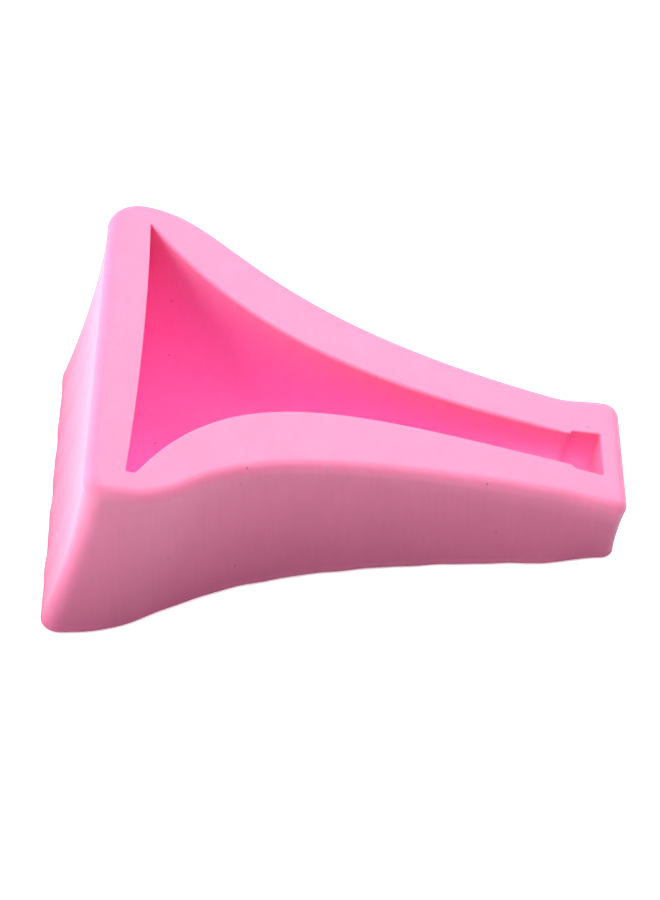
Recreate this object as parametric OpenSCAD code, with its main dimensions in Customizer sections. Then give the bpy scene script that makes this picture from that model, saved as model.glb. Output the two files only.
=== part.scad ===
// One-piece silicone mould for casting the heel of a high-heeled shoe.
// The casting lies on its side, seat to the left and tip to the right. The open
// fill rim is a flat plane that slopes down towards the tip, over a flat base.
// Rim coordinates: s runs along the rim from the seat end, v runs across it with
// zero on the middle of the tip pocket, and z is measured up from the rim plane.

/* [Heel cavity] */
// Seat face to tip face of the cast heel
heel_length = 91.5; // [76:0.5:110]
// Back point of the seat, from the tip's middle line
seat_back = 41; // [34:0.5:49]
// Front corner of the seat, from the tip's middle line
seat_front = 24.5; // [21:0.5:29]
// Depth of the cavity at the seat, square to the rim
seat_depth = 31.5; // [26:0.5:38]
// Slant of the seat face, measured at its back point
seat_slant = 1.6; // [0:0.1:4]
// Cup of the seat face, which bulges into the cavity
seat_cup = 0.8; // [0.1:0.1:2]
// Small flat between the seat and the breast of the heel
breast_flat = 1.8; // [1:0.1:3]
// Depth of the shaft where it meets the tip pocket
shaft_depth = 6.4; // [5:0.1:7]
// Width of the shaft where it meets the tip pocket
shaft_width = 8; // [7:0.1:9]
// How the depth falls from seat to shaft: 1 is straight, more is hollow
depth_fall = 1.4; // [1:0.05:1.8]

/* [Tip pocket] */
// Length of the pocket that forms the top piece of the heel
pocket_length = 5.8; // [4.6:0.1:7]
// Width of the pocket at the tip face
pocket_width = 10.6; // [9.8:0.1:13]
// How much narrower the pocket is beside the shaft
pocket_flare = 0.9; // [0:0.1:1]
// Depth of the pocket, square to the rim
pocket_depth = 7.2; // [7.1:0.1:9]
// Run of the small step between shaft and pocket
pocket_lead = 0.35; // [0.2:0.05:0.6]

/* [Heel curves] */
// Angle of the back curve where it leaves the seat
back_angle = 52; // [45:1:56]
// Angle of the breast curve where it leaves the seat
breast_angle = 60; // [54:1:64]
// Lean of the shaft at its tip
shaft_lean = 5; // [0:0.5:7]
// Squareness of the back half of a section at the seat: 2 is an ellipse
round_seat = 2.3; // [2:0.1:3]
// Squareness of the back half of a section at the tip
round_tip = 3.2; // [2:0.1:4]
// Squareness of the breast half of every section
round_breast = 4.5; // [3:0.5:6]

/* [Walls] */
// Wall between the seat face and the outside, at the seat's front corner
seat_wall = 7.3; // [5:0.1:10]
// Wall past the tip face
tip_wall = 4.7; // [3.8:0.1:7]
// Rim beside the back point of the seat
back_wall = 6; // [5:0.1:9]
// Rim beside the front corner of the seat
front_wall = 6; // [5:0.1:9]
// Rim beside the tip pocket, back side
tip_back_wall = 9.6; // [8:0.1:12]
// Rim beside the tip pocket, front side
tip_front_wall = 7.9; // [6.5:0.1:10]
// How much narrower each side is at the neck, just before the tip end
neck_in = 0.7; // [0:0.1:1.5]
// Floor under the deepest point at the seat
seat_floor = 6.8; // [4:0.1:9]
// Floor under the tip pocket
tip_floor = 8.1; // [6:0.1:11]

/* [Outside] */
// Rim corner radius beside the back point of the seat
corner_back = 7; // [5:0.5:9]
// Rim corner radius beside the front corner of the seat
corner_front = 4.5; // [3:0.5:6]
// Corner radius at the tip end, back side
corner_tip_back = 3.1; // [2.5:0.1:4.5]
// Corner radius at the tip end, front side
corner_tip_front = 2.5; // [2.3:0.1:4]
// How far the rim's seat end slants in at the back
end_slant = 0.7; // [0:0.1:2]
// Rounding of the rim's outer edge
rim_round = 2.2; // [0.8:0.1:2.3]
// Rounding of the bottom edge
foot_round = 0.9; // [0.4:0.1:1.4]
// Hollow of the tallest wall, half way down
wall_hollow = 1; // [0:0.1:1.6]

/* [Foot] */
// Spread of the foot beyond the rim at the seat end
foot_seat = 1.1; // [0.5:0.1:2.5]
// Spread at the tip end
foot_tip = 0.9; // [0.5:0.1:2]
// Spread at the front corner of the seat end
foot_front = 1.7; // [0.5:0.1:2.5]
// How far the foot stands in under the back corner of the seat end
foot_back_in = 3.3; // [0:0.1:3.5]
// Spread of both sides at the tip end
foot_tip_sides = 0.7; // [0.3:0.1:2]
// Spread of both sides at the neck
foot_neck = 2.7; // [1:0.1:3]
// Foot corner radius beside the back point of the seat
foot_corner_back = 10; // [6:0.5:11]
// Foot corner radius beside the front corner of the seat
foot_corner_front = 4.2; // [3:0.1:6]

/* [Hidden] */

// Numbers of steps
corner_steps = 6;
side_steps = 34;
neck_steps = 6;
rim_steps = 4;
wall_steps = 8;
station_count = 38;
breast_steps = 9;
back_steps = 14;

// Shape of the curves, as shares of their own run
seat_pull = 0.38;
breast_pull = 0.39;
shaft_pull = 0.48;
rim_back_pulls = [0.23, 0.76];
rim_front_pulls = [0.27, 0.95];
foot_pulls = [0.26, 0.84];
tip_side_pull = 0.4;

// Places along and across the rim
neck_lead = 3;            // from the neck to the end of the shaft
seat_s = seat_wall;
shaft_end_s = seat_s + heel_length - pocket_length - pocket_lead;
tip_s = seat_s + heel_length;
rim_length = tip_s + tip_wall;
neck_s = shaft_end_s - neck_lead;
back_v = seat_back + back_wall;
front_v = -seat_front - front_wall;
tip_back_v = pocket_width / 2 + tip_back_wall;
tip_front_v = -pocket_width / 2 - tip_front_wall;
neck_angle = -8;          // the back side still falls towards the neck; the front side has levelled out
deepest_share = 0.3;      // place of the deepest point, from the breast side
seat_deepest_s = seat_s + deepest_share * seat_slant;

// The rim's tilt follows from the thickness wanted at each end
rise = seat_depth + seat_floor - pocket_depth - tip_floor;
rim_tilt = atan(rise / (tip_s - seat_deepest_s));
seat_end_depth = seat_depth + seat_floor + seat_deepest_s * tan(rim_tilt);
seat_end_height = seat_end_depth * cos(rim_tilt);

// Height of the base plane in rim coordinates
function base_z(s) = s * tan(rim_tilt) - seat_end_depth;

function dir(a) = [cos(a), sin(a)];
function unit(p) = p / norm(p);
function mix(a, b, t) = a * (1 - t) + b * t;
function reversed(list) = [for (i = [len(list) - 1:-1:0]) list[i]];

// Cubic curve from p0, leaving at angle a0, to p1, arriving at angle a1.
// Each entry is [point, direction of travel].
function curve(p0, a0, k0, p1, a1, k1, n, first = 0) = let (
    c0 = p0 + k0 * dir(a0),
    c1 = p1 - k1 * dir(a1)
) [for (i = [first:n]) let (t = i / n, u = 1 - t) [
    u * u * u * p0 + 3 * u * u * t * c0 + 3 * u * t * t * c1 + t * t * t * p1,
    unit(u * u * (c0 - p0) + 2 * u * t * (c1 - c0) + t * t * (p1 - c1))
]];

// Quarter circle about c; turn is 1 anticlockwise and -1 clockwise
function corner(c, r, a0, turn, first = 0) = [for (i = [first:corner_steps])
    let (a = a0 + turn * 90 * i / corner_steps)
    [c + r * dir(a), turn * dir(a + 90)]];

// One long side of an outline, seat end to tip end: a corner, a shoulder that
// sweeps into the neck, a short flare and the tip corner. side is 1 at the back,
// pulls are the shares for the shoulder and the sweep, and a place is [s, v].
function long_side(side, seat_corner, seat_r, pulls, neck, neck_a, tip_corner, tip_r) = let (
    start = seat_corner + [seat_r, 0],
    end = tip_corner - [tip_r, 0],
    run = neck[0] - start[0],
    flare = tip_side_pull * (end[0] - neck[0])
) concat(
    corner(start - [0, side * seat_r], seat_r, 180, -side),
    curve(start, 0, pulls[0] * run, neck, neck_a, pulls[1] * run, side_steps, 1),
    curve(neck, neck_a, flare, end, 0, flare, neck_steps, 1),
    corner(end - [0, side * tip_r], tip_r, side * 90, -side, 1)
);

rim_front = long_side(-1, [0, front_v], corner_front, rim_front_pulls,
    [neck_s, tip_front_v + neck_in], 0, [rim_length, tip_front_v], corner_tip_front);
rim_back = long_side(1, [end_slant, back_v], corner_back, rim_back_pulls,
    [neck_s, tip_back_v - neck_in], neck_angle, [rim_length, tip_back_v], corner_tip_back);
foot_length = rim_length + foot_tip;
foot_front_side = long_side(-1, [-foot_seat, front_v - foot_front], foot_corner_front, foot_pulls,
    [neck_s, tip_front_v + neck_in - foot_neck], 0,
    [foot_length, tip_front_v - foot_tip_sides], corner_tip_front);
foot_back_side = long_side(1, [-foot_seat, back_v - foot_back_in], foot_corner_back, foot_pulls,
    [neck_s, tip_back_v - neck_in + foot_neck], neck_angle,
    [foot_length, tip_back_v + foot_tip_sides], corner_tip_back);
side_count = len(rim_front);

// Closed outlines of [point, outward normal]: along the front side, which has the
// outside on the right of its travel, and home along the back side, which has it on the left
function closed(front, back) = concat(
    [for (e = front) [e[0], [e[1][1], -e[1][0]]]],
    reversed([for (e = back) [e[0], [-e[1][1], e[1][0]]]])
);
rim_outline = closed(rim_front, rim_back);
foot_outline = closed(foot_front_side, foot_back_side);
entries = [for (k = [0:len(rim_outline) - 1]) k];

function outline_point(e, offset, z) = [e[0][0] + e[1][0] * offset, e[0][1] + e[1][1] * offset, z];
// A wall point at the share t of its depth: a shallow hollow that flares out to the foot
function wall_point(k, t, z) = let (
    e = rim_outline[k],
    flare = t * t,
    tallness = base_z(e[0][0]) / base_z(0),
    hollow = wall_hollow * tallness * tallness * 4 * t * (1 - t)
) outline_point([mix(e[0], foot_outline[k][0], flare), e[1]], -hollow, z);

// Rings of the outside, from the rim down to just under the base plane
function rim_ring(i) = let (a = 90 * i / rim_steps) [for (e = rim_outline)
    outline_point(e, rim_round * (sin(a) - 1), rim_round * (cos(a) - 1))];
function wall_ring(t) = [for (k = entries) let (
    foot_z = base_z(foot_outline[k][0][0]),
    z = mix(-rim_round, foot_z + foot_round, t)
) wall_point(k, z / foot_z, z)];
function foot_ring(a, drop) = [for (e = foot_outline) let (
    p = outline_point(e, -foot_round * (1 - cos(a)), 0)
) [p[0], p[1], base_z(p[0]) + foot_round * (1 - sin(a)) - drop]];

under_base = 2;           // the skin runs this far under the base before it is cut flat
foot_step = 25;
last_foot_angle = 75;
skin_rings = concat(
    [for (i = [0:rim_steps]) rim_ring(i)],
    [for (i = [1:wall_steps]) wall_ring(i / wall_steps)],
    [for (a = [foot_step:foot_step:last_foot_angle]) foot_ring(a, 0)],
    [foot_ring(last_foot_angle, under_base)]
);
ring_count = len(skin_rings);

// The origin is under the middle of the whole outside
function to_world(p) = [
    p[0] * cos(rim_tilt) + p[2] * sin(rim_tilt),
    p[1],
    seat_end_height - p[0] * sin(rim_tilt) + p[2] * cos(rim_tilt)
];
visible_points = [for (i = [0:ring_count - 2]) for (p = skin_rings[i]) to_world(p)];
x_list = [for (p = visible_points) p[0]];
y_list = [for (p = visible_points) p[1]];
middle = [(min(x_list) + max(x_list)) / 2, (min(y_list) + max(y_list)) / 2];

// Section of the heel, from the breast lip down and up to the back lip.
// Each entry is [share of the way across, share of the depth].
function section(square_back) = concat(
    [for (j = [0:breast_steps]) let (a = 90 * j / breast_steps)
        [deepest_share * (1 - pow(cos(a), 2 / round_breast)), pow(sin(a), 2 / round_breast)]],
    [for (j = [1:back_steps]) let (a = 90 - 90 * j / back_steps)
        [mix(deepest_share, 1, pow(cos(a), 2 / square_back)), pow(sin(a), 2 / square_back)]]
);

// Plan curves of the heel: the breast side and the back side of the cavity
shaft_run = shaft_end_s - seat_s;
cup_fade = 6;             // how fast the seat's cup dies away along the shaft
breast_curve = curve([seat_s + breast_flat, -seat_front], breast_angle, breast_pull * shaft_run,
    [shaft_end_s, -shaft_width / 2], -shaft_lean, shaft_pull * shaft_run, station_count - 1);
breast_line = concat([[seat_s, -seat_front]], [for (e = breast_curve) e[0]]);
back_curve = curve([seat_s + seat_slant, seat_back], -back_angle, seat_pull * shaft_run,
    [shaft_end_s, shaft_width / 2], -shaft_lean, shaft_pull * shaft_run, station_count);
back_line = [for (e = back_curve) e[0]];

// One station of the heel as [across and depth points], seat station first.
// The seat's cup fades out over the first part of the shaft.
function shaft_station(i) = let (
    t = i / station_count,
    f = breast_line[i],
    b = back_line[i],
    along = (mix(f[0], b[0], deepest_share) - seat_deepest_s) / shaft_run,
    depth = shaft_depth + (seat_depth - shaft_depth) * pow(1 - min(1, along), depth_fall),
    cup = seat_cup * pow(1 - t, cup_fade)
) [for (w = section(mix(round_seat, round_tip, t)))
    [mix(f[0], b[0], w[0]) + cup * 4 * w[0] * (1 - w[0]), mix(f[1], b[1], w[0]), -depth * w[1]]];
function pocket_station(s, width) = [for (w = section(round_tip))
    [s, width * (w[0] - 0.5), -pocket_depth * w[1]]];

heel_stations = concat(
    [for (i = [0:station_count]) shaft_station(i)],
    [pocket_station(shaft_end_s + pocket_lead, pocket_width - pocket_flare)],
    [pocket_station(tip_s, pocket_width)]
);
poke = 3;                 // the heel stands this far out of the rim before it is cut away
station_points = len(heel_stations[0]);
last_station = len(heel_stations) - 1;

// Rings joined into a closed skin; each ring is two sides that are closed across by strips
module ring_solid(rings, half) {
    n = len(rings[0]);
    last = len(rings) - 1;
    walls = [for (i = [0:last - 1]) for (k = [0:n - 1]) let (m = (k + 1) % n, a = i * n, b = a + n)
        for (f = [[a + k, a + m, b + m], [a + k, b + m, b + k]]) f];
    top = [for (k = [0:half - 2]) [k, n - 1 - k, n - 2 - k, k + 1]];
    bottom = [for (k = [0:half - 2]) [k + 1, n - 2 - k, n - 1 - k, k] + last * n * [1, 1, 1, 1]];
    polyhedron(points = [for (r = rings) each r], faces = concat(walls, top, bottom), convexity = 4);
}

// A grid of points below and the same grid lifted to a flat top
module relief_solid(grid, top) {
    rows = len(grid);
    n = len(grid[0]);
    size = rows * n;
    lifted = [for (r = grid) [for (p = r) [p[0], p[1], top]]];
    cells = [for (i = [0:rows - 2]) for (j = [0:n - 2]) let (a = i * n + j)
        for (f = [[a, a + n + 1, a + 1], [a, a + n, a + n + 1]]) f];
    lid = [for (f = cells) [f[2] + size, f[1] + size, f[0] + size]];
    ends = [for (j = [0:n - 2]) for (f = [
        [j, j + 1, j + 1 + size, j + size],
        [size - n + j + 1, size - n + j, 2 * size - n + j, 2 * size - n + j + 1]]) f];
    sides = [for (i = [0:rows - 2]) let (a = i * n, b = a + n, c = b - 1, d = c + n) for (f = [
        [b, a, a + size, b + size],
        [c, d, d + size, c + size]]) f];
    polyhedron(points = [for (r = concat(grid, lifted)) each r],
        faces = concat(cells, lid, ends, sides), convexity = 6);
}

module block() {
    ring_solid(skin_rings, side_count);
}

// The space that the cast heel fills
module heel() {
    relief_solid(heel_stations, poke);
}

module under_base_cut() {
    far = 2 * rim_length;
    translate([-far / 2, -far / 2, -far]) cube([far, far, far]);
}

// Puts rim coordinates in their place over the base
module on_rim() {
    translate([-middle[0], -middle[1], seat_end_height]) rotate([0, rim_tilt, 0]) children();
}

module mould_body() {
    color("hotpink") difference() {
        on_rim() difference() {
            block();
            heel();
        }
        under_base_cut();
    }
}

mould_body();
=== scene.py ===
import math

import bmesh
import bpy
import numpy as np
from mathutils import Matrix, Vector


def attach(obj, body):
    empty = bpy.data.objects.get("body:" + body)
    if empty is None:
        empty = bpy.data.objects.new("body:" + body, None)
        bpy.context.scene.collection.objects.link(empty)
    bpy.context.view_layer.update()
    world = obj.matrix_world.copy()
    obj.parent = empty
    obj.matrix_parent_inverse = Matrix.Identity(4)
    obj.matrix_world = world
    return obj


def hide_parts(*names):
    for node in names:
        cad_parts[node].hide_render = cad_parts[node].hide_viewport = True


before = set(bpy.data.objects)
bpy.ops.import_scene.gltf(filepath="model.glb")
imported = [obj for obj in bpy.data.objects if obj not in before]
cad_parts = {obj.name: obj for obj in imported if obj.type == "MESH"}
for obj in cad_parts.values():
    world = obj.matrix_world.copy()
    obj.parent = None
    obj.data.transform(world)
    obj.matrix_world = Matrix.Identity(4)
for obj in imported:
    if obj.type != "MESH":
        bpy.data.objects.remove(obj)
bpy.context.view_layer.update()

mm = 0.001


def srgb(code):
    # sRGB hex to linear: c/12.92 under 0.04045, else ((c + 0.055)/1.055) to the power 2.4
    c = np.array([int(code[i:i + 2], 16) for i in (1, 3, 5)]) / 255
    return tuple(np.where(c < 0.04045, c / 12.92, ((c + 0.055) / 1.055) ** 2.4)) + (1.0,)


# the cavity and the block

heel = dict(  # the cast heel, mm and degrees; s runs along the rim from the seat end, v across it
    length=91.5, seatBack=41.0, seatFront=24.5, seatDepth=31.5,
    seatSlant=1.6, seatCup=0.8, cupFade=6,      # lean and hollow of the seat end
    breastFlat=1.8, flatShare=1 / 38,           # straight start of the front line, and its stations' share
    shaftDepth=6.4, shaftWidth=8.0, depthFall=1.4,
    pocketLength=5.8, pocketWidth=10.6, pocketFlare=0.9, pocketDepth=7.2, pocketLead=0.35,
    backAngle=52, breastAngle=60, shaftLean=5,  # directions in which the two lines start and end
    seatPull=0.38, breastPull=0.39, shaftPull=0.48,     # how far each end holds its direction
    roundSeat=2.3, roundTip=3.2, roundBreast=4.5,       # squareness of the section, 2 is an ellipse
    deepest=0.3,                                # place of the deepest line, as a share from front to back
)
block = dict(  # the outside of the mould, mm and degrees
    seatWall=7.3, tipWall=4.7, backWall=6.0, frontWall=6.0, tipBackWall=9.6, tipFrontWall=7.9,
    seatFloor=6.8, tipFloor=8.1,
    neckIn=0.7, neckLead=3.0, neckAngle=-8,     # the narrowest place, just before the pocket
    cornerBack=7.0, cornerFront=4.5, cornerTipBack=3.1, cornerTipFront=2.5, endSlant=0.7,
    rimRound=2.2, footRound=0.9, wallHollow=1.0,
    footSeat=1.1, footTip=0.9, footFront=1.7, footBackIn=3.3, footTipSides=0.7, footNeck=2.7,
    footCornerBack=10.0, footCornerFront=4.2,
    rimBackPulls=(0.23, 0.76), rimFrontPulls=(0.27, 0.95), footPulls=(0.26, 0.84), tipSidePull=0.4,
)
soft = dict(  # what casting and demoulding leave round, mm
    lip=0.22, backLip=0.6, lipChange=2.5,       # lip of the cavity, and how gently it changes to the back lip
    cornerBlur=0.3, lipBlur=0.45,               # how far the corners and the lip's direction are rounded
    keepFlat=0.25,                              # margin that stays in the rim's plane on both sides
    waves=(23, 41), waveStarts=(1, 0),          # two slow waves in the wall, counted round the block
    waveHeight=0.07, waveShare=0.6,             # height of the first, and the second's share of it
)
tone = dict(  # where painted light and painted shade change the colour, mm
    hollowReach=7.0, tipWallHollow=0.0,         # depth of the hot pink painted for light bounced round the hollow, and the tip end wall's share of it
    footReach=33.0, footPower=1.5,              # height of the painted shade that darkens the foot, and how it falls away
    rimClean=5.0,                               # band under the rim where the painted shade fades out
)
steps = dict(
    seat=52, corner=16, side=132, neck=22, tipCorner=16, tip=12,    # points round half the block
    rim=9, wall=22, foot=6, base=3,                                 # rings of the outside
    lip=7, cavity=44, extraBreast=4, lead=6,                        # rings and stations of the cavity
)


def mix(a, b, t):
    # a at t = 0, b at t = 1 and a straight run between them
    return a * (1 - t) + b * t


def direction(a):
    # unit vector at a degrees
    return np.array([math.cos(math.radians(a)), math.sin(math.radians(a))])


def bezier(p0, a0, k0, p1, a1, k1, t):
    # cubic curve from p0 leaving at angle a0 to p1 arriving at a1: the four Bernstein weights times the four
    # control points, and its derivative for the direction of travel
    p0, p1 = np.array(p0, float), np.array(p1, float)
    c0, c1 = p0 + k0 * direction(a0), p1 - k1 * direction(a1)
    t = t[:, None]
    u = 1 - t
    place = u ** 3 * p0 + 3 * u * u * t * c0 + 3 * u * t * t * c1 + t ** 3 * p1
    travel = u * u * (c0 - p0) + 2 * u * t * (c1 - c0) + t * t * (p1 - c1)
    return place, travel / np.linalg.norm(travel, axis=1, keepdims=True)


def arc(centre, r, a0, turn, share):
    # quarter circle: centre + r (cos a, sin a), with a running a quarter turn from a0
    a = np.radians(a0 + turn * 90 * share)[:, None]
    out = np.concatenate([np.cos(a), np.sin(a)], 1)
    return centre + r * out, turn * np.concatenate([-out[:, 1:], out[:, :1]], 1)


def fromStart(n):
    # n even shares that take in 0 and leave out 1
    return np.arange(n) / n


def toEnd(n):
    # n even shares that leave out 0 and take in 1
    return np.arange(1, n + 1) / n


def centred(n):
    # n even shares, each in the middle of its part
    return (np.arange(n) + 0.5) / n


def longSide(side, seatCorner, seatR, pulls, neck, neckA, tipCorner, tipR):
    # corner arc, shoulder sweeping into the neck, short flare and tip corner arc, as points and directions
    start = np.array(seatCorner) + [seatR, 0]
    end = np.array(tipCorner) - [tipR, 0]
    run = neck[0] - start[0]
    flare = block["tipSidePull"] * (end[0] - neck[0])
    bits = [
        arc(start - [0, side * seatR], seatR, 180, -side, np.linspace(0, 1, steps["corner"] + 1)),
        bezier(start, 0, pulls[0] * run, neck, neckA, pulls[1] * run, toEnd(steps["side"])),
        bezier(neck, neckA, flare, end, 0, flare, toEnd(steps["neck"])),
        arc(end - [0, side * tipR], tipR, side * 90, -side, toEnd(steps["tipCorner"])),
    ]
    return tuple(np.concatenate(x) for x in zip(*bits))


def closedOutline(front, back):
    # one loop that starts in the middle of the seat end: half of the end, the front side, half of the tip,
    # then the same home along the back side; normals are the travel direction turned outwards
    (frontPlace, frontTravel), (backPlace, backTravel) = front, back
    frontNormal = np.stack([frontTravel[:, 1], -frontTravel[:, 0]], 1)
    backNormal = np.stack([-backTravel[:, 1], backTravel[:, 0]], 1)
    seatMid, tipMid = (frontPlace[0] + backPlace[0]) / 2, (frontPlace[-1] + backPlace[-1]) / 2

    def half(place, normal):
        seat = seatMid + (place[0] - seatMid) * centred(steps["seat"])[:, None]
        tip = place[-1] + (tipMid - place[-1]) * centred(steps["tip"])[:, None]
        seatNormal, tipNormal = np.tile(normal[0], (len(seat), 1)), np.tile(normal[-1], (len(tip), 1))
        return np.concatenate([seat, place, tip]), np.concatenate([seatNormal, normal, tipNormal])

    halves = half(frontPlace, frontNormal), half(backPlace, backNormal)
    return tuple(np.concatenate([ahead, home[::-1]]) for ahead, home in zip(*halves))


# places along and across the rim, as the solid has them
seatS = block["seatWall"]
shaftEndS = seatS + heel["length"] - heel["pocketLength"] - heel["pocketLead"]
tipS = seatS + heel["length"]
rimLength = tipS + block["tipWall"]
neckS = shaftEndS - block["neckLead"]
backV = heel["seatBack"] + block["backWall"]
frontV = -heel["seatFront"] - block["frontWall"]
tipBackV = heel["pocketWidth"] / 2 + block["tipBackWall"]
tipFrontV = -heel["pocketWidth"] / 2 - block["tipFrontWall"]
neckBackV = tipBackV - block["neckIn"]
neckFrontV = tipFrontV + block["neckIn"]
deepestS = seatS + heel["deepest"] * heel["seatSlant"]
rise = heel["seatDepth"] + block["seatFloor"] - heel["pocketDepth"] - block["tipFloor"]
tilt = math.atan(rise / (tipS - deepestS))
endDepth = heel["seatDepth"] + block["seatFloor"] + deepestS * math.tan(tilt)
endHeight = endDepth * math.cos(tilt)


def baseZ(s):
    # height of the base plane above the rim plane, at rim place s, so it is below nought
    return s * math.tan(tilt) - endDepth


rimOutline, rimNormal = closedOutline(
    longSide(-1, (0, frontV), block["cornerFront"], block["rimFrontPulls"],
             (neckS, neckFrontV), 0,
             (rimLength, tipFrontV), block["cornerTipFront"]),
    longSide(1, (block["endSlant"], backV), block["cornerBack"], block["rimBackPulls"],
             (neckS, neckBackV), block["neckAngle"],
             (rimLength, tipBackV), block["cornerTipBack"]))
footSeatS = -block["footSeat"]
footTipS = rimLength + block["footTip"]
footOutline, footNormal = closedOutline(
    longSide(-1, (footSeatS, frontV - block["footFront"]), block["footCornerFront"], block["footPulls"],
             (neckS, neckFrontV - block["footNeck"]), 0,
             (footTipS, tipFrontV - block["footTipSides"]), block["cornerTipFront"]),
    longSide(1, (footSeatS, backV - block["footBackIn"]), block["footCornerBack"], block["footPulls"],
             (neckS, neckBackV + block["footNeck"]), block["neckAngle"],
             (footTipS, tipBackV + block["footTipSides"]), block["cornerTipBack"]))
loop = len(rimOutline)

gaps = np.linalg.norm(np.roll(rimOutline, -1, 0) - rimOutline, axis=1)
goneRound = 2 * np.pi * np.cumsum(gaps) / gaps.sum()       # how far round the block, 0 to a full turn
first, second = (np.sin(count * goneRound + start) for count, start in zip(soft["waves"], soft["waveStarts"]))
waves = soft["waveHeight"] * (first + soft["waveShare"] * second)


def ring(plan, z):
    # an outline and the height of each of its points, or one height for all, as places in space
    return np.concatenate([plan, np.broadcast_to(np.asarray(z, float), (len(plan),))[:, None]], 1)


def rimRing(a):
    # the rim's outer edge: a quarter round, a = 0 on the flat and 90 on the wall
    a = math.radians(a)
    r = block["rimRound"]
    return ring(rimOutline + rimNormal * r * (math.sin(a) - 1), r * (math.cos(a) - 1))


def wallRing(t):
    # the wall leans from the rim outline to the foot outline by the square of the depth share, with a hollow
    # of 4 times share times (1 - share) that fades with the height of the wall
    footZ = baseZ(footOutline[:, 0])
    z = mix(-block["rimRound"], footZ + block["footRound"], t)
    share = z / footZ
    tall = baseZ(rimOutline[:, 0]) / baseZ(0)
    hollow = block["wallHollow"] * tall * tall * 4 * share * (1 - share)
    plan = mix(rimOutline, footOutline, (share * share)[:, None]) - rimNormal * (hollow + t * waves)[:, None]
    return ring(plan, z)


def footRing(a):
    # the bottom edge: a quarter round, a = 0 on the wall and 90 on the base
    a = math.radians(a)
    r = block["footRound"]
    plan = footOutline - footNormal * (r * (1 - math.cos(a)) + waves)[:, None]
    return ring(plan, baseZ(plan[:, 0]) + r * (1 - math.sin(a)))


# the stations of the heel: each has a front point, a back point, a depth and a squareness; the straight start
# has a few stations fewer than the block's corner has, and the curve after it takes them over
breastCount = steps["corner"] + 1 - steps["extraBreast"]
heelCount = breastCount + steps["side"] + steps["extraBreast"]
flatShare = heel["flatShare"]
t = np.concatenate([flatShare * fromStart(breastCount),
                    np.linspace(flatShare, 1, heelCount - breastCount)])
run = shaftEndS - seatS
frontCurve, _ = bezier((seatS + heel["breastFlat"], -heel["seatFront"]), heel["breastAngle"],
                       heel["breastPull"] * run, (shaftEndS, -heel["shaftWidth"] / 2), -heel["shaftLean"],
                       heel["shaftPull"] * run, np.clip((t - flatShare) / (1 - flatShare), 0, 1))
frontCurve[:, 0] -= heel["breastFlat"] * np.clip(1 - t / flatShare, 0, 1)
backCurve, _ = bezier((seatS + heel["seatSlant"], heel["seatBack"]), -heel["backAngle"],
                      heel["seatPull"] * run, (shaftEndS, heel["shaftWidth"] / 2), -heel["shaftLean"],
                      heel["shaftPull"] * run, t)
along = np.clip((mix(frontCurve[:, 0], backCurve[:, 0], heel["deepest"]) - deepestS) / run, 0, 1)
heelDepth = heel["shaftDepth"] + (heel["seatDepth"] - heel["shaftDepth"]) * (1 - along) ** heel["depthFall"]

leadT = toEnd(steps["lead"])                               # the little step into the pocket
pocketT = toEnd(steps["neck"] + steps["tipCorner"] - steps["lead"])
leadWidth = heel["pocketWidth"] - heel["pocketFlare"]
leadEndS = shaftEndS + heel["pocketLead"]
pocketS = np.concatenate([mix(shaftEndS, leadEndS, leadT), mix(leadEndS, tipS, pocketT)])
pocketW = np.concatenate([mix(heel["shaftWidth"], leadWidth, leadT),
                          mix(leadWidth, heel["pocketWidth"], pocketT)])
pocketD = np.concatenate([mix(heel["shaftDepth"], heel["pocketDepth"], leadT),
                          np.full(len(pocketT), heel["pocketDepth"])])
frontLine = np.concatenate([frontCurve, np.stack([pocketS, -pocketW / 2], 1)])
backLine = np.concatenate([backCurve, np.stack([pocketS, pocketW / 2], 1)])
depth = np.concatenate([heelDepth, pocketD])
cup = np.concatenate([heel["seatCup"] * (1 - t) ** heel["cupFade"], np.zeros(len(pocketS))])
squareBack = np.concatenate([mix(heel["roundSeat"], heel["roundTip"], t),
                             np.full(len(pocketS), heel["roundTip"])])

# which station and which share of the way across each point of the loop has
lastStation = len(depth) - 1
halfStation = np.concatenate([
    np.zeros(steps["seat"], int), np.arange(lastStation + 1), np.full(steps["tip"], lastStation)])
halfAcross = np.concatenate([
    0.5 - 0.5 * centred(steps["seat"]), np.zeros(lastStation + 1), 0.5 * centred(steps["tip"])])
station = np.concatenate([halfStation, halfStation[::-1]])
across = np.concatenate([halfAcross, 1 - halfAcross[::-1]])
assert len(station) == loop                                # as many points round the cavity as the block


def superellipse(phi, power):
    # point at the angle phi on |x|^n + |y|^n = 1
    c, s = np.cos(phi), np.sin(phi)
    r = (c ** power + s ** power) ** (-1 / power)
    return c * r, s * r


def cavityRing(q, lipSize):
    # a level of the cavity, from just under the lip (q = 0) to the deepest line (q = 1): a superellipse
    # quarter on each side of that line, mixed by how far across the heel the point is
    d = depth[station]
    phi = mix(np.arctan(lipSize / d), np.pi / 2, q)
    frontX, frontH = superellipse(phi, heel["roundBreast"])
    backX, backH = superellipse(phi, squareBack[station])
    w = mix(heel["deepest"] * (1 - frontX), mix(heel["deepest"], 1, backX), across)
    plan = mix(frontLine[station], backLine[station], w[:, None])
    plan[:, 0] += cup[station] * 4 * w * (1 - w)
    return ring(plan, -d * mix(frontH, backH, across))


def blurWeights(points, reach):
    # bell weights by distance along the closed loop, so that corners come out rounded
    gap = np.linalg.norm(np.roll(points, -1, 0) - points, axis=1)
    place = np.concatenate([[0], np.cumsum(gap)[:-1]])
    share = (gap + np.roll(gap, 1)) / 2
    apart = np.abs(place[:, None] - place[None])
    apart = np.minimum(apart, gap.sum() - apart)
    weight = np.exp(-(apart / reach) ** 2 / 2) * share[None]
    return weight / weight.sum(1, keepdims=True)


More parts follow.
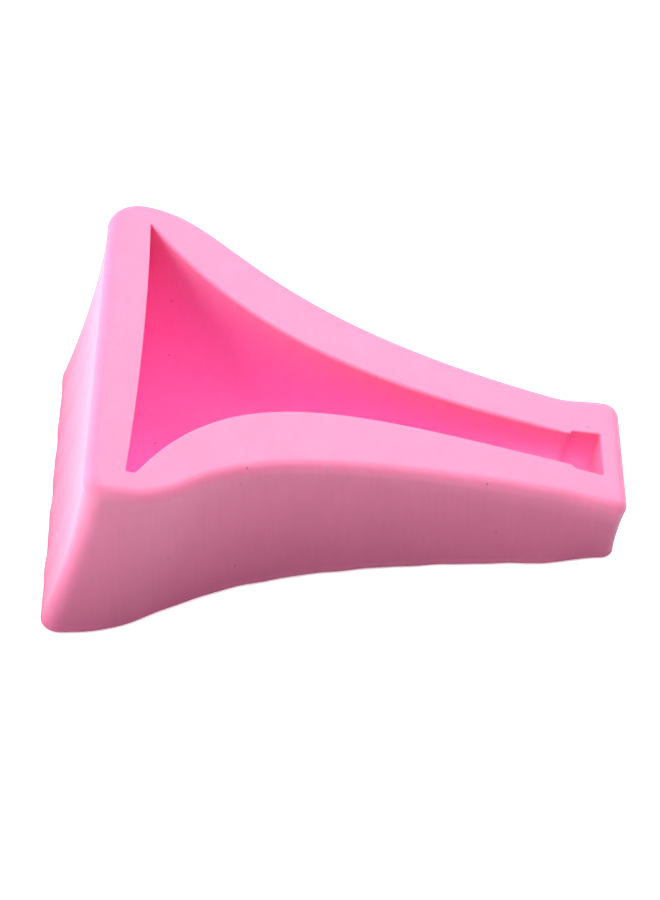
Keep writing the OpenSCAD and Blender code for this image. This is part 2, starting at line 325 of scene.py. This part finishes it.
# the lip is small along the front and the seat, and softer along the back of the heel and at the tip's end
softer = ((across == 1) & (station < breastCount + steps["side"])) | (station == lastStation)
firstLine = cavityRing(0, soft["lip"])
lipSize = blurWeights(firstLine, soft["lipChange"]) @ np.where(softer, soft["backLip"], soft["lip"])
blur = blurWeights(firstLine, soft["cornerBlur"])
lipLine = blur @ cavityRing(0, lipSize)
travel = np.roll(lipLine, -1, 0)[:, :2] - np.roll(lipLine, 1, 0)[:, :2]
travel = blurWeights(lipLine, soft["lipBlur"]) @ (travel / np.linalg.norm(travel, axis=1, keepdims=True))
travel /= np.linalg.norm(travel, axis=1, keepdims=True)
lipNormal = np.stack([travel[:, 1], -travel[:, 0]], 1)     # away from the cavity


def lipRing(a):
    # the cavity's lip: a quarter round, a = 0 on the rim and 90 on the cavity wall
    a = math.radians(a)
    out = (lipSize * (1 - math.sin(a)))[:, None]
    return ring(lipLine[:, :2] + lipNormal * out, -lipSize * (1 - math.cos(a)))


# the outside, from the middle of the base out, up the wall and over the rim's edge; then the inside, from the
# rim over the lip and down to the deepest line, where the two sides meet
base = footRing(90)
outside = [mix((base + base[::-1]) / 2, base, u) for u in fromStart(steps["base"])]
outside += [footRing(90 * (1 - u)) for u in fromStart(steps["foot"])]
outside += [wallRing(1 - u) for u in fromStart(steps["wall"])]
outside += [rimRing(a) for a in np.linspace(90, 0, steps["rim"] + 1)]
outside.append(outside[-1] - ring(rimNormal * soft["keepFlat"], 0))

lipRings = [lipRing(90 * u) for u in fromStart(steps["lip"])]
cavityRings = [blur @ cavityRing(q, lipSize) for q in np.linspace(0, 1, steps["cavity"] + 1)]
bottom = cavityRings[-1]
cavityRings[-1] = (bottom + bottom[::-1]) / 2
inside = [lipRings[0] + ring(lipNormal * soft["keepFlat"], 0)] + lipRings + cavityRings


def toFrame(p):
    # rim coordinates to the row frame: a turn by the rim's tilt about the Y axis, then a lift
    c, s = math.cos(tilt), math.sin(tilt)
    return np.stack([p[..., 0] * c + p[..., 2] * s, p[..., 1], endHeight - p[..., 0] * s + p[..., 2] * c], -1)


# 0 on the rim and towards 1 deep down, the share of painted light bounced round the hollow; the tip's end
# wall, the thinnest, takes none of it and stays pale
hollowShare = 1 - np.exp(np.stack(inside)[..., 2] / tone["hollowReach"])
hollowShare *= np.where(station == lastStation, tone["tipWallHollow"], 1)
outside, inside = toFrame(np.stack(outside)), toFrame(np.stack(inside))
outsideZ = outside[..., 2]
# painted shade on the outside wall: darker towards the base, none at the rim
footShadeShare = np.clip(1 - outsideZ / tone["footReach"], 0, 1) ** tone["footPower"]      # 1 at the base
footShadeShare *= np.clip((outsideZ.max(0) - outsideZ) / tone["rimClean"], 0, 1)           # and 0 at the rim
corners = outside.min((0, 1)), outside.max((0, 1))
middle = (corners[0] + corners[1]) / 2 * [1, 1, 0]         # the origin is under the middle of the block
print("mould surface:", len(outside), "outer rings,", len(inside), "inner rings,", loop, "points each")


def ringQuads(rows, n, first):
    # each quad joins two neighbours on one ring to the same two on the next ring
    a = np.arange(rows - 1)[:, None] * n + np.arange(n)[None]
    b = np.arange(rows - 1)[:, None] * n + (np.arange(n)[None] + 1) % n
    return first + np.stack([a, b, b + n, a + n], -1).reshape(-1, 4)


def skin(name, outside, inside, mergeWithin=1e-4 * mm):
    # two grids of closed rings joined into quads; the flat between their nearest rings is filled with
    # triangles, points that coincide are merged, and the faces turned outwards
    points = mm * (np.concatenate([outside.reshape(-1, 3), inside.reshape(-1, 3)]) - middle)
    split = len(outside) * loop
    quads = np.concatenate([ringQuads(len(outside), loop, 0), ringQuads(len(inside), loop, split)])
    mesh = bpy.data.meshes.new(name)
    mesh.from_pydata(points.tolist(), [], quads.tolist())
    # point attributes for the painted light in the hollow and the painted shade at the foot
    for share, values in {
        "hollow": [np.zeros(split), hollowShare.ravel()],
        "foot": [footShadeShare.ravel(), np.zeros(hollowShare.size)],
    }.items():
        mesh.attributes.new(share, "FLOAT", "POINT").data.foreach_set("value", np.concatenate(values))
    form = bmesh.new()
    form.from_mesh(mesh)
    form.verts.ensure_lookup_table()
    flatEdges = []
    for start in (split - loop, split):
        ends = [form.verts[start + k] for k in range(loop)]
        flatEdges += [form.edges.get(pair) for pair in zip(ends, ends[1:] + ends[:1])]
    bmesh.ops.triangle_fill(form, use_beauty=True, edges=flatEdges)
    bmesh.ops.remove_doubles(form, verts=form.verts, dist=mergeWithin)
    bmesh.ops.dissolve_degenerate(form, edges=form.edges, dist=mergeWithin)
    bmesh.ops.recalc_face_normals(form, faces=form.faces)
    form.to_mesh(mesh)
    form.free()
    mesh.polygons.foreach_set("use_smooth", np.ones(len(mesh.polygons), bool))
    piece = bpy.data.objects.new(name, mesh)
    bpy.context.scene.collection.objects.link(piece)
    return piece


mould = skin("mould_rubber", outside, inside)
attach(mould, "root")
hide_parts("mould_body")
print("mould skin:", len(mould.data.polygons), "faces")

# silicone rubber

silicone = dict(
    colour="#F68BB5", deep="#FF7CCB",           # the open faces, and a hotter pink painted in the hollows for light bounced round inside them
    roughness=0.5, ior=1.42,
    glow=0.85, reach=1.0 * mm, tint=(1.0, 0.6, 0.7),    # how much light goes in, how far, and by colour
    footShadeColour="#C25884", footShadeStrength=0.95,             # painted shade that darkens the wall towards the foot, and how much of it
    mottle=7.0, streak=(0.8, 9.0),              # cloudiness, width and length of the streaks, mm
    grain=0.3,                                  # satin grain, mm, coarser than the real one so that it shows
    patchRange=(0.6, 1.4), shadeRange=(0.96, 1.04),     # cloud plus streak, and the brightness that it gives
    streakHeight=0.03, grainHeight=0.02, bump=0.3,      # heights in mm, and how strongly they show
    dust="#7E4A60", dustApart=7.0, dustSize=0.28,       # specks of dust that silicone holds on to, mm
    dustCore=0.6, dustShare=0.55,               # solid middle of a mote, and how much it covers
)


def node(tree, kind, settings=None, **links):
    # one node with its settings; a link is named for the socket that it feeds, or numbered as in1
    made = tree.nodes.new(kind)
    for key, value in (settings or {}).items():
        if hasattr(made, str(key)):
            setattr(made, key, value)
        else:
            made.inputs[key].default_value = value
    for key, source in links.items():
        socket = int(key[2:]) if key[:2] == "in" and key[2:].isdigit() else key.replace("_", " ")
        tree.links.new(source, made.inputs[socket])
    return made


def spread(fromRange, toRange):
    # the settings of a node that stretches one range of values onto another
    names = ("From Min", "From Max", "To Min", "To Max")
    return dict(zip(names, (*fromRange, *toRange)))


def siliconeRubber():
    # platinum-cure silicone rubber, poured over a satin master: a soft satin sheen, and light that goes about
    # a millimetre into it, so that edges glow; hollows turn a hotter pink partly from this and partly by
    # painted light, and the foot is darkened by painted shade
    material = bpy.data.materials.new("pouredSiliconeRubber")
    material.use_nodes = True
    tree = material.node_tree
    shader = tree.nodes["Principled BSDF"]
    place = node(tree, "ShaderNodeTexCoord").outputs["Object"]
    mottle, grit, apart = (1 / (silicone[size] * mm) for size in ("mottle", "grain", "dustApart"))
    # painted light: the hollow share mixes in a hotter pink for light bounced round the cavity
    hollow = node(tree, "ShaderNodeAttribute", dict(attribute_name="hollow")).outputs["Fac"]
    cloud = node(tree, "ShaderNodeTexNoise", dict(Scale=mottle, Detail=3.0), Vector=place)
    wide, long = (1 / (x * mm) for x in silicone["streak"])
    drawn = node(tree, "ShaderNodeMapping", dict(Scale=(wide, wide, long)), Vector=place)
    streak = node(tree, "ShaderNodeTexNoise", dict(Scale=1.0, Detail=2.0), Vector=drawn.outputs["Vector"])
    grain = node(tree, "ShaderNodeTexNoise", dict(Scale=grit, Detail=2.0), Vector=place)
    shallow, deep = srgb(silicone["colour"]), srgb(silicone["deep"])
    body = node(tree, "ShaderNodeMix", {"data_type": "RGBA", 6: shallow, 7: deep}, in0=hollow)
    patches = node(tree, "ShaderNodeMath", dict(operation="ADD"),
                   in0=cloud.outputs["Fac"], in1=streak.outputs["Fac"])
    shade = node(tree, "ShaderNodeMapRange", spread(silicone["patchRange"], silicone["shadeRange"]),
                 Value=patches.outputs["Value"])
    # painted shade: the colour darkens towards the foot
    foot = node(tree, "ShaderNodeAttribute", dict(attribute_name="foot")).outputs["Fac"]
    footTone = node(tree, "ShaderNodeMath", {"operation": "MULTIPLY", 1: silicone["footShadeStrength"]}, in0=foot)
    footShaded = node(tree, "ShaderNodeMix", {"data_type": "RGBA", 7: srgb(silicone["footShadeColour"])},
                in0=footTone.outputs["Value"], in6=body.outputs[2])
    mottled = node(tree, "ShaderNodeVectorMath", dict(operation="SCALE"), in0=footShaded.outputs[2],
                   Scale=shade.outputs["Result"])
    motes = node(tree, "ShaderNodeTexVoronoi", dict(Scale=apart), Vector=place)
    edge = silicone["dustSize"] / silicone["dustApart"]
    core = silicone["dustCore"] * edge
    mote = node(tree, "ShaderNodeMapRange", spread((core, edge), (silicone["dustShare"], 0)),
                Value=motes.outputs["Distance"])
    dusty = node(tree, "ShaderNodeMix", {"data_type": "RGBA", 7: srgb(silicone["dust"])},
                 in0=mote.outputs["Result"], in6=mottled.outputs["Vector"])
    tree.links.new(dusty.outputs[2], shader.inputs["Base Color"])
    streakBump, grainBump = (dict(Strength=silicone["bump"], Distance=silicone[height] * mm)
                             for height in ("streakHeight", "grainHeight"))
    lines = node(tree, "ShaderNodeBump", streakBump, Height=streak.outputs["Fac"])
    satin = node(tree, "ShaderNodeBump", grainBump,
                 Height=grain.outputs["Fac"], Normal=lines.outputs["Normal"])
    tree.links.new(satin.outputs["Normal"], shader.inputs["Normal"])
    for socket, value in {
        "Roughness": silicone["roughness"], "IOR": silicone["ior"], "Subsurface Weight": silicone["glow"],
        "Subsurface Radius": silicone["tint"], "Subsurface Scale": silicone["reach"],
    }.items():
        shader.inputs[socket].default_value = value
    return material


mould.data.materials.append(siliconeRubber())
print("material:", mould.data.materials[0].name)

# floor, light and camera

studio = dict(  # metres
    paper="#FFFFFF", paperGlow=0.4, table="#C8C8C8", size=3.0, tableDrop=0.001, matt=0.9,
    sky="#FFFFFF", fromSky=(-0.5, 0.7, 0.5), skyFront=0.04, skyBack=0.65,   # a room brightest at the back
    below=0.1, horizon=(-0.15, 0.1),            # share of it under the table, and where that changes
    lightsAim=(0, 0, 0.02), bounces=10, allBounces=14,
)
lights = dict(  # place in metres, side of the square in metres, watts
    leftLight=((-0.95, 0.06, 0.4), 0.9, 12),
    topLight=((0.25, -0.2, 0.9), 0.5, 3.9),
    backLight=((0.347, 0.68, 0.644), 0.5, 6.0),
    frontSheen=((0, -1.0, 0.1), 0.9, 10),
)
view = dict(
    elevation=47.0, distance=0.519, aim=(-0.00025, -0.00184, 0.017),
    lens=108.0, film=36, shiftX=-0.0033, shiftY=-0.0278, near=0.01, far=20,
)


def plane(name, height, colour, glow):
    bpy.ops.mesh.primitive_plane_add(size=studio["size"], location=(0, 0, height))
    made = bpy.context.object
    made.name = name
    material = bpy.data.materials.new(name)
    material.use_nodes = True
    shader = material.node_tree.nodes["Principled BSDF"]
    for socket, value in {
        "Base Color": srgb(colour), "Roughness": studio["matt"],
        "Emission Color": srgb(colour), "Emission Strength": glow,
    }.items():
        shader.inputs[socket].default_value = value
    made.data.materials.append(material)
    return made


def softRoom():
    # the sky's strength goes from front to back by the cosine of the angle to fromSky, and fades under the
    # horizon
    world = bpy.data.worlds.new("softRoom")
    world.use_nodes = True
    tree = world.node_tree
    towards = node(tree, "ShaderNodeTexCoord").outputs["Generated"]
    fromSky = Vector(studio["fromSky"]).normalized()
    facing = node(tree, "ShaderNodeVectorMath", {"operation": "DOT_PRODUCT", 1: fromSky}, in0=towards)
    around = node(tree, "ShaderNodeMapRange", spread((-1, 1), (studio["skyFront"], studio["skyBack"])),
                  Value=facing.outputs["Value"])
    height = node(tree, "ShaderNodeSeparateXYZ", in0=towards)
    above = node(tree, "ShaderNodeMapRange", spread(studio["horizon"], (studio["below"], 1)),
                 Value=height.outputs["Z"])
    strength = node(tree, "ShaderNodeMath", dict(operation="MULTIPLY"), in0=around.outputs["Result"],
                    in1=above.outputs["Result"])
    background = tree.nodes["Background"]
    background.inputs["Color"].default_value = srgb(studio["sky"])
    tree.links.new(strength.outputs["Value"], background.inputs["Strength"])
    return world


def softLight(name, place, size, watts):
    lamp = bpy.data.lights.new(name, "AREA")
    lamp.shape = "SQUARE"
    lamp.size = size
    lamp.energy = watts
    made = bpy.data.objects.new(name, lamp)
    made.location = place
    made.rotation_euler = (Vector(studio["lightsAim"]) - Vector(place)).to_track_quat("-Z", "Y").to_euler()
    bpy.context.scene.collection.objects.link(made)
    return made


# the sheet that shows is lit from below, as paper on a light table is, and the table under it, which doesn't
# show, is what throws light back at the rubber
sheet = plane("whitePaper", 0, studio["paper"], studio["paperGlow"])
sheet.visible_diffuse = sheet.visible_shadow = False
table = plane("paleTable", -studio["tableDrop"], studio["table"], 0)
table.visible_camera = table.visible_glossy = False

scene = bpy.context.scene
scene.world = softRoom()
scene.view_settings.view_transform = "Standard"
scene.cycles.diffuse_bounces = studio["bounces"]
scene.cycles.max_bounces = studio["allBounces"]

lamps = {name: softLight(name, *settings) for name, settings in lights.items()}
lamps["frontSheen"].visible_diffuse = False                # a card that only shows as sheen on rounded edges
print("studio:", len(lamps), "lights")

camera = bpy.data.objects.new("camera", bpy.data.cameras.new("camera"))
camera.data.lens = view["lens"]
camera.data.sensor_width = view["film"]
camera.data.shift_x = view["shiftX"]
camera.data.shift_y = view["shiftY"]
camera.data.clip_start = view["near"]
camera.data.clip_end = view["far"]
up = math.radians(view["elevation"])
back = Vector((0, -math.cos(up), math.sin(up)))
camera.location = Vector(view["aim"]) + back * view["distance"]
camera.rotation_euler = (-back).to_track_quat("-Z", "Y").to_euler()
scene.collection.objects.link(camera)
scene.camera = camera
print("camera:", view["lens"], "mm lens,", view["elevation"], "degrees above the table")
